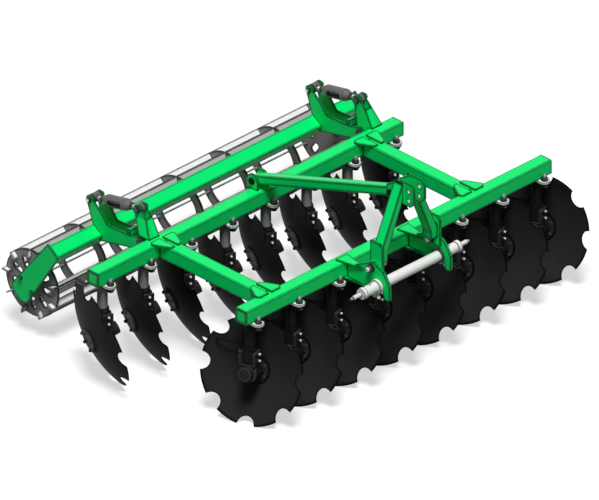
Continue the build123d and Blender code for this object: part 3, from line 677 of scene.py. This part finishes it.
def stand_place(body):
    """Middle of the block between a carrier's cheeks at the rim centre's height, the level way to the belly,
    and the level way forward along the carrier's bolts."""
    centre, way = joint_place(f"{body}_spin")
    side = belly_side(way)
    level = np.array([way[0], way[1], 0.0])
    level /= np.linalg.norm(level)
    along = np.array([level[1], -level[0], 0.0]) * side
    return centre - np.array([side * RIM_OFFSET, 0, 0]) - level * BLOCK_SHIFT, level, along


def in_row(row):
    """The discs of one row."""
    return [body for body in DISCS if row in body]


def on_spots(shape, spots, ways, up=(0, 0, 1)):
    """The shape repeated at every spot. One way may stand for all of them."""
    ways = np.broadcast_to(np.array(ways, float), np.shape(spots))
    return copies(shape, frames(spots, ways, up))


def seam(corners):
    """Weld bead along straight runs between corners: a rippled tube, one ripple each 7 mm."""
    corners = np.array(corners, float)
    runs = np.linalg.norm(np.diff(corners, axis=0), axis=1)
    reach = np.concatenate([[0], np.cumsum(runs)])
    spacing = 0.007
    steps = np.linspace(0, reach[-1], max(int(reach[-1] / spacing * 2), 3))
    path = np.stack([np.interp(steps, reach, corners[:, axis]) for axis in range(3)], -1)
    return tube(path, fastenings().weld, 6, ripple=0.16, waves=reach[-1] / spacing)


# ---------------------------------------------------------------- operators


class HARROW_OT_finish_frame(bpy.types.Operator):
    """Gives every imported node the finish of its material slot."""

    bl_idname = "harrow.finish_frame"
    bl_label = "Finish the frame"

    def execute(self, context):
        slots = {entry["node"]: entry["material_slot"] for entry in frame["record"]["subparts"]}
        for node, obj in frame["nodes"].items():
            # The rear stands take a lit copy of the stands' paint, with a painted highlight on their tubes.
            finish = material("rear_stand_lit_grey" if node == "rear_stands" else slots[node])
            if not obj.material_slots:
                obj.data.materials.append(finish)
            for place in obj.material_slots:
                place.material = finish
        return {"FINISHED"}


class HARROW_OT_stand_bolts(bpy.types.Operator):
    """Bolts through the clamp plates' round lugs: heads below the stand's flange, nuts and ends above."""

    bl_idname = "harrow.stand_bolts"
    bl_label = "Stand bolts"

    def execute(self, context):
        radius = fastenings().stand_bolt
        for row in ROWS:
            low, high = corners_of(f"{row}_beam")
            axis_y = (low[1] + high[1]) / 2
            reach = (high[1] - low[1]) / 2 + LUG_REACH
            flange_low = corners_of(f"{row}_stands")[1][2] - STAND_FLANGE
            tops = []
            for body in in_row(row):
                centre, way = joint_place(f"{body}_spin")
                x = centre[0] - belly_side(way) * RIM_OFFSET
                tops += [(x, axis_y - reach, low[2]), (x, axis_y + reach, low[2])]
            bottoms = [(x, y, flange_low) for x, y, _ in tops]
            nuts = on_spots(hex_bolt(radius, head=NUT), tops, (0, 0, 1))
            heads = on_spots(hex_bolt(radius), bottoms, (0, 0, -1))
            ends = on_spots(bolt_end(radius, 1.5), tops, (0, 0, 1))
            shape = joined([nuts, heads])
            piece(f"stand_bolts_{row}", shape, "frame", material("nut_dark"))
            piece(f"stand_bolt_ends_{row}", ends, "frame", material("bolt_grey"))
        return {"FINISHED"}


class HARROW_OT_disc_bolts(bpy.types.Operator):
    """Clamp plate and ring of nuts on each disc's belly, and bolt heads on its flange. They turn with it."""

    bl_idname = "harrow.disc_bolts"
    bl_label = "Disc bolts"

    def execute(self, context):
        sizes = fastenings()
        thick, rim, bore, chamfer, sunk = 0.0105, 0.067, 0.034, 0.0015, 0.001
        plate = lathe([
            (rim, -sunk, 0), (rim, thick - chamfer, 0), (rim - chamfer, thick, 0), (bore, thick, 0),
            (bore - 0.002, thick - 0.002, 0),
        ], 48)
        nut = nut_and_end(sizes.disc_bolt, over=0.4)
        head = hex_bolt(sizes.disc_bolt, washer=False)
        angle = np.arange(sizes.disc_bolts) * 2 * np.pi / sizes.disc_bolts
        circle = np.stack([np.cos(angle), np.sin(angle), np.zeros_like(angle)], -1) * sizes.disc_circle
        for body in DISCS:
            centre, way = joint_place(f"{body}_spin")
            spots = circle @ frames([centre], [way])[0, :3, :3].T + centre
            piece(f"{body}_clamp_plate", on_spots(plate, [centre + way * BELLY_FACE], way), body,
                  material("hub_grey"))
            nuts = on_spots(nut, spots + way * (BELLY_FACE + thick), way)
            heads = on_spots(head, spots + way * FLANGE_SEAT, -way)
            piece(f"{body}_bolts", joined([nuts, heads]), body, material("hub_grey"))
        return {"FINISHED"}


class HARROW_OT_hub_bolts(bpy.types.Operator):
    """Two bolts across each hub carrier, heads behind and nuts in front, and a seal at the housing."""

    bl_idname = "harrow.hub_bolts"
    bl_label = "Hub bolts and seals"

    def execute(self, context):
        radius, rises = fastenings().hub_bolt, (0.082, 0.120)
        heads, nuts, back, fore, seals, ways = [], [], [], [], [], []
        for body in DISCS:
            place, _, along = stand_place(body)
            centre, way = joint_place(f"{body}_spin")
            for rise in rises:
                spot = place + UP * rise
                heads.append(spot - along * CHEEK_BACK)
                back.append(-along)
                nuts.append(spot + along * CHEEK_FACE)
                fore.append(along)
            seals.append(centre + way * HOUSING_FACE)
            ways.append(way)
        front_nuts = on_spots(hex_bolt(radius, head=NUT), nuts, fore)
        shape = joined([on_spots(hex_bolt(radius), heads, back), front_nuts])
        piece("hub_bolts", shape, "frame", material("nut_dark"))
        ends = on_spots(bolt_end(radius), nuts, fore)
        piece("hub_bolt_ends", ends, "frame", material("bright_steel"))
        lips = on_spots(ring(0.041, 0.024, 0.004, 0.001), seals, ways)
        piece("hub_seals", lips, "frame", material("seal_black"))
        return {"FINISHED"}


class HARROW_OT_scrapers(bpy.types.Operator):
    """Scraper on the back of each hub carrier: a plate, and a bent bar whose end stands by the disc's bowl."""

    bl_idname = "harrow.scrapers"
    bl_label = "Scrapers"

    def execute(self, context):
        # Each place: back from the block's middle, out towards the belly, and up
        back = CHEEK_FACE + 0.003
        plate_path = [(back, 0.0, 0.066), (back, 0.0, 0.100), (back, 0.0, 0.136)]
        bar_path = [(back, 0.006, 0.128), (0.066, 0.042, 0.128), (0.200, 0.044, 0.130), (0.205, 0.056, 0.130)]
        for row in ROWS:
            shapes = []
            for body in in_row(row):
                place, level, along = stand_place(body)
                axes = np.array([-along, level, UP])
                shapes.append(strap(plate_path @ axes + place, 0.034, 0.006, level))
                shapes.append(strap(eased(bar_path @ axes + place), 0.012, 0.008, UP))
            piece(f"scrapers_{row}", joined(shapes), "frame", material("scraper_black"))
        return {"FINISHED"}


class HARROW_OT_hitch_fastenings(bpy.types.Operator):
    """Bolts of the mast's feet and of the shaft clamps, washers and plugs on the cross shaft, and the liners
    of the mast's holes."""

    bl_idname = "harrow.hitch_fastenings"
    bl_label = "Hitch fastenings"

    def execute(self, context):
        foot_bolt, clamp_bolt = 0.012, 0.005
        plug_out, ear_out, ear_half, ear_drop = 0.2764, 0.010, 0.013, 0.056
        low, high = corners_of("front_beam")
        bolt_y, bolt_z = low[1] - 0.168, high[2] + 0.037
        shaft = middle("cross_shaft")
        plug = lathe([(0.005, -0.002, 0), (0.005, 0.0006, 0), (0.004, 0.001, 0)], 16)
        washer = ring(0.040, SHAFT_RADIUS + 0.0002, 0.010, 0.001)
        dark, ends, collars = [], [], []
        for name, side in zip(SIDES, (1, -1)):
            centre_x = middle(f"hitch_bracket_{name}")[0]
            plain, footed = centre_x + side * BRACKET_HALF, centre_x - side * (BRACKET_HALF + FOOT_PLATE)
            near, far = sorted((plain, footed))
            dark.append(on_spots(hex_bolt(foot_bolt, head=NUT), [(near, bolt_y, bolt_z)], (-1, 0, 0)))
            dark.append(on_spots(hex_bolt(foot_bolt), [(far, bolt_y, bolt_z)], (1, 0, 0)))
            ends.append(on_spots(bolt_end(foot_bolt, 0.8), [(near, bolt_y, bolt_z)], (-1, 0, 0)))
            face = (centre_x - side * (BRACKET_HALF + 0.0001), shaft[1], shaft[2])
            collars.append(on_spots(washer, [face], (-side, 0, 0)))
            spot = (shaft[0] + side * plug_out, shaft[1], shaft[2] + SHAFT_RADIUS)
            collars.append(on_spots(plug, [spot], (0, 0, 1), (1, 0, 0)))
            for hand in (-1, 1):
                ear = (plain + side * ear_out, shaft[1] + hand * ear_half, shaft[2] - ear_drop)
                ends.append(on_spots(hex_bolt(clamp_bolt), [ear], (0, hand, 0)))
        mounts = frame["record"]["mounts"]
        holes = [mount["pos_m"] for mount in mounts if mount["name"].startswith("top_link")]
        low, high = corners_of("mast_plates")
        inset = 0.0002
        spots = [(x, y, z) for _, y, z in holes for x in (low[0] + inset, high[0] - MAST_PLATE - inset)]
        liners = on_spots(ring(0.0102, 0.0094, MAST_PLATE, inset), spots, (1, 0, 0))
        piece("pin_hole_liners", liners, "frame", material("bright_steel"))
        piece("hitch_bolts", joined(dark), "frame", material("nut_dark"))
        piece("hitch_bolt_ends", joined(ends), "frame", material("bright_steel"))
        piece("shaft_washers", joined(collars), "frame", material("turnbuckle_grey"))
        return {"FINISHED"}


class HARROW_OT_turnbuckle_threads(bpy.types.Operator):
    """Threads of the turnbuckles' screws, each a ridge along a helix, and lock nuts against the barrels."""

    bl_idname = "harrow.turnbuckle_threads"
    bl_label = "Turnbuckle threads"

    def execute(self, context):
        pitch, core = fastenings().thread_pitch, 0.0114
        front_run, rear_start, gap = (0.028, 0.060), 0.152, 0.001
        nut = lathe(hex_rows(0.036, 0.010), 12, 6)
        for name in SIDES:
            front, _ = joint_place(f"turnbuckle_{name}_pivot")
            way = np.array(JOINTS[f"turnbuckle_{name}_screw"]["axis"], float)
            rear_eye = (corners_of(f"turnbuckle_screw_{name}")[1][1] - SCREW_EYE - front[1]) / way[1]
            turned = frames([front], [way], (1, 0, 0))[0, :3, :3].T

            def thread(start, end):
                """Ridge on a helix round the screw: (r cos a, r sin a, s) with a = 2 pi s / pitch."""
                along = np.linspace(start, end, int((end - start) / pitch * 16))
                a = 2 * np.pi * along / pitch
                line = np.stack([core * np.cos(a), core * np.sin(a), along], -1)
                return tube(line @ turned + front, pitch * 0.22, 5)

            spots = [front + way * BARREL_START, front + way * (BARREL_END + gap)]
            piece(f"lock_nuts_{name}", on_spots(nut, spots, way, (1, 0, 0)), f"turnbuckle_{name}",
                  material("turnbuckle_grey"))
            piece(f"turnbuckle_thread_front_{name}", thread(*front_run), f"turnbuckle_{name}",
                  material("bright_steel"))
            piece(f"turnbuckle_thread_rear_{name}", thread(rear_start, rear_eye - SCREW_EYE - gap),
                  f"turnbuckle_end_{name}", material("bright_steel"))
        return {"FINISHED"}


class HARROW_OT_roller_fastenings(bpy.types.Operator):
    """Bearing bolts on the roller's side plates, and the bolt heads and nuts of the arms' and posts' pins."""

    bl_idname = "harrow.roller_fastenings"
    bl_label = "Roller fastenings"

    def execute(self, context):
        bearing_bolt, arm_bolt, post_bolt = 0.007, 0.008, 0.010
        bolt_half, bolt_back = 0.046, 0.018
        axle, _ = joint_place("roller_spin")
        hinge, _ = joint_place("roller_frame_hinge")
        slope = axle - middle("roller_beam")
        slope[0] = 0
        slope /= np.linalg.norm(slope)
        across = np.cross(slope, [1.0, 0, 0])
        pivot_end = lathe([(0.0148, 0.003, 0), (0.0148, 0.008, 0), (0.012, 0.010, 0)], 24)
        bearing, moving, ends, fixed = [], [], [], []
        for name, side in zip(SIDES, (1, -1)):
            low, high = corners_of(f"roller_side_plate_{name}")
            spots = np.array([axle + across * hand * bolt_half - slope * bolt_back for hand in (-1, 1)])
            spots[:, 0] = high[0] if side > 0 else low[0]
            bearing.append(on_spots(hex_bolt(bearing_bolt), spots, (side, 0, 0)))
            front, _ = joint_place(f"turnbuckle_{name}_pivot")
            for hand in (-1, 1):
                out = (hand, 0, 0)
                arm_face, post_face = front[0] + hand * ARM_FACE, front[0] + hand * POST_FACE
                pin = [(arm_face, hinge[1] + PIN_BACK, hinge[2] + PIN_RISE)]
                moving.append(on_spots(hex_bolt(arm_bolt, head=NUT), pin, out))
                if hand < 0:
                    ends.append(on_spots(bolt_end(arm_bolt, 0.5), pin, out))
                pivot = [(arm_face, hinge[1], hinge[2])]
                fixed.append(on_spots(hex_bolt(post_bolt), [(post_face, front[1], front[2])], out))
                fixed.append(on_spots(ring(0.030, 0.0152, 0.003, 0.0006), pivot, out))
                fixed.append(on_spots(pivot_end, pivot, out))
        piece("bearing_bolts", joined(bearing), "roller_frame", material("green_paint"))
        piece("roller_frame_bolts", joined(moving), "roller_frame", material("turnbuckle_grey"))
        piece("arm_pin_ends", joined(ends), "roller_frame", material("bright_steel"))
        piece("roller_post_bolts", joined(fixed), "frame", material("turnbuckle_grey"))
        return {"FINISHED"}


class HARROW_OT_welds(bpy.types.Operator):
    """Weld beads where the frame's tubes, the hitch's brackets and the backstay's clevis meet the beams."""

    bl_idname = "harrow.welds"
    bl_label = "Weld beads"

    def execute(self, context):
        beads = []
        inset = 0.004
        front_low, front_high = corners_of("front_beam")
        rear_low, rear_high = corners_of("rear_beam")
        for name in SIDES:
            low, high = corners_of(f"side_beam_{name}")
            for y in (front_high[1], rear_low[1]):
                for x in (low[0], high[0]):
                    beads.append(seam([(x, y, low[2] + inset), (x, y, high[2] - inset)]))
                beads.append(seam([(low[0], y, low[2]), (high[0], y, low[2])]))
            centre_x = middle(f"hitch_bracket_{name}")[0]
            for x in (centre_x - BRACKET_HALF, centre_x + BRACKET_HALF):
                bottom, top = front_low[2] + inset, front_high[2] - inset
                beads.append(seam([(x, front_low[1], bottom), (x, front_low[1], top)]))
        low, high = corners_of("backstay_clevis")
        for x in (low[0], high[0]):
            beads.append(seam([(x, low[1], rear_high[2]), (x, high[1], rear_high[2])]))
        piece("frame_welds", joined(beads), "frame", material("green_paint"), smooth=60)
        return {"FINISHED"}


def seen_rays(tree):
    """1 on camera, glossy and transmission rays, 0 on the rays that carry light to the harrow."""
    path = tree.nodes.new("ShaderNodeLightPath")
    first, both = tree.nodes.new("ShaderNodeMath"), tree.nodes.new("ShaderNodeMath")
    first.operation = both.operation = "MAXIMUM"
    tree.links.new(path.outputs["Is Camera Ray"], first.inputs[0])
    tree.links.new(path.outputs["Is Glossy Ray"], first.inputs[1])
    tree.links.new(first.outputs["Value"], both.inputs[0])
    tree.links.new(path.outputs["Is Transmission Ray"], both.inputs[1])
    return both.outputs["Value"]


class HARROW_OT_stage(bpy.types.Operator):
    """Pale floor, soft key light, sky and the camera."""

    bl_idname = "harrow.stage"
    bl_label = "Stage"

    def execute(self, context):
        scene = context.scene
        settings = scene.harrow_stage
        scene.view_settings.view_transform = "Standard"
        reach, pale_grey, glow_strength, distance = 30.0, 0.46, 0.60, 8
        key_way = Vector((0.25, 0.26, -0.933))
        aim = Vector((0.4809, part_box("front_beam")[0][1] + 1.0502, -0.0036))
        outline = [(-reach, -reach, 0), (reach, -reach, 0), (reach, reach, 0), (-reach, reach, 0)]
        mesh = bpy.data.meshes.new("floor")
        mesh.from_pydata(outline, [], [(0, 1, 2, 3)])
        floor = bpy.data.objects.new("floor", mesh)
        scene.collection.objects.link(floor)
        pale = bpy.data.materials.new("pale floor")
        pale.use_nodes = True
        nodes, links = pale.node_tree.nodes, pale.node_tree.links
        nodes.remove(nodes["Principled BSDF"])
        dim, bright = nodes.new("ShaderNodeBsdfDiffuse"), nodes.new("ShaderNodeBsdfDiffuse")
        glow = nodes.new("ShaderNodeEmission")
        dim.inputs["Color"].default_value = (settings.bounce, settings.bounce, settings.bounce, 1)
        bright.inputs["Color"].default_value = (pale_grey, pale_grey, pale_grey, 1)
        glow.inputs["Strength"].default_value = glow_strength
        shown, choice = nodes.new("ShaderNodeAddShader"), nodes.new("ShaderNodeMixShader")
        links.new(bright.outputs["BSDF"], shown.inputs[0])
        links.new(glow.outputs["Emission"], shown.inputs[1])
        links.new(seen_rays(pale.node_tree), choice.inputs[0])
        links.new(dim.outputs["BSDF"], choice.inputs[1])
        links.new(shown.outputs["Shader"], choice.inputs[2])
        links.new(choice.outputs["Shader"], nodes["Material Output"].inputs["Surface"])
        mesh.materials.append(pale)

        world = bpy.data.worlds.new("studio")
        scene.world = world
        world.use_nodes = True
        nodes, links = world.node_tree.nodes, world.node_tree.links
        power = nodes.new("ShaderNodeMapRange")
        power.inputs["To Min"].default_value = settings.sky
        links.new(seen_rays(world.node_tree), power.inputs["Value"])
        nodes["Background"].inputs["Color"].default_value = (1, 1, 1, 1)
        links.new(power.outputs["Result"], nodes["Background"].inputs["Strength"])

        lamp = bpy.data.lights.new("key", "SUN")
        lamp.energy = settings.sun
        lamp.angle = math.radians(20)
        key = bpy.data.objects.new("key", lamp)
        scene.collection.objects.link(key)
        key.rotation_mode = "QUATERNION"
        key.rotation_quaternion = key_way.to_track_quat("-Z", "Y")

        data = bpy.data.cameras.new("camera")
        data.type = "ORTHO"
        data.ortho_scale = settings.view_width
        data.clip_end = 60
        camera = bpy.data.objects.new("camera", data)
        scene.collection.objects.link(camera)
        a, e = settings.azimuth, settings.elevation
        away = Vector((-math.sin(a) * math.cos(e), -math.cos(a) * math.cos(e), math.sin(e)))
        camera.location = aim + away * distance
        camera.rotation_mode = "QUATERNION"
        camera.rotation_quaternion = (-away).to_track_quat("-Z", "Y")
        scene.camera = camera
        return {"FINISHED"}


class HARROW_PT_panel(bpy.types.Panel):
    """Lists the harrow's operators in the sidebar."""

    bl_idname = "HARROW_PT_panel"
    bl_label = "Disc harrow"
    bl_space_type = "VIEW_3D"
    bl_region_type = "UI"
    bl_category = "Harrow"

    def draw(self, context):
        for operator in OPERATORS:
            self.layout.operator(operator.bl_idname)


OPERATORS = (
    HARROW_OT_stage,
    HARROW_OT_finish_frame,
    HARROW_OT_stand_bolts,
    HARROW_OT_disc_bolts,
    HARROW_OT_hub_bolts,
    HARROW_OT_scrapers,
    HARROW_OT_hitch_fastenings,
    HARROW_OT_turnbuckle_threads,
    HARROW_OT_roller_fastenings,
    HARROW_OT_welds,
)
GROUP_CLASSES = (HarrowFastenings, HarrowFinishes, HarrowStage)


def register():
    """Adds the classes and the scene's three groups of settings."""
    for cls in GROUP_CLASSES + OPERATORS + (HARROW_PT_panel,):
        bpy.utils.register_class(cls)
    bpy.types.Scene.harrow_fastenings = bpy.props.PointerProperty(type=HarrowFastenings)
    bpy.types.Scene.harrow_finishes = bpy.props.PointerProperty(type=HarrowFinishes)
    bpy.types.Scene.harrow_stage = bpy.props.PointerProperty(type=HarrowStage)


def unregister():
    """Takes them away again."""
    del bpy.types.Scene.harrow_stage
    del bpy.types.Scene.harrow_finishes
    del bpy.types.Scene.harrow_fastenings
    for cls in reversed(GROUP_CLASSES + OPERATORS + (HARROW_PT_panel,)):
        bpy.utils.unregister_class(cls)


def main():
    """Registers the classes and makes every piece."""
    register()
    for operator in OPERATORS:
        group, name = operator.bl_idname.split(".")
        getattr(getattr(bpy.ops, group), name)()


if __name__ == "__main__":
    main()
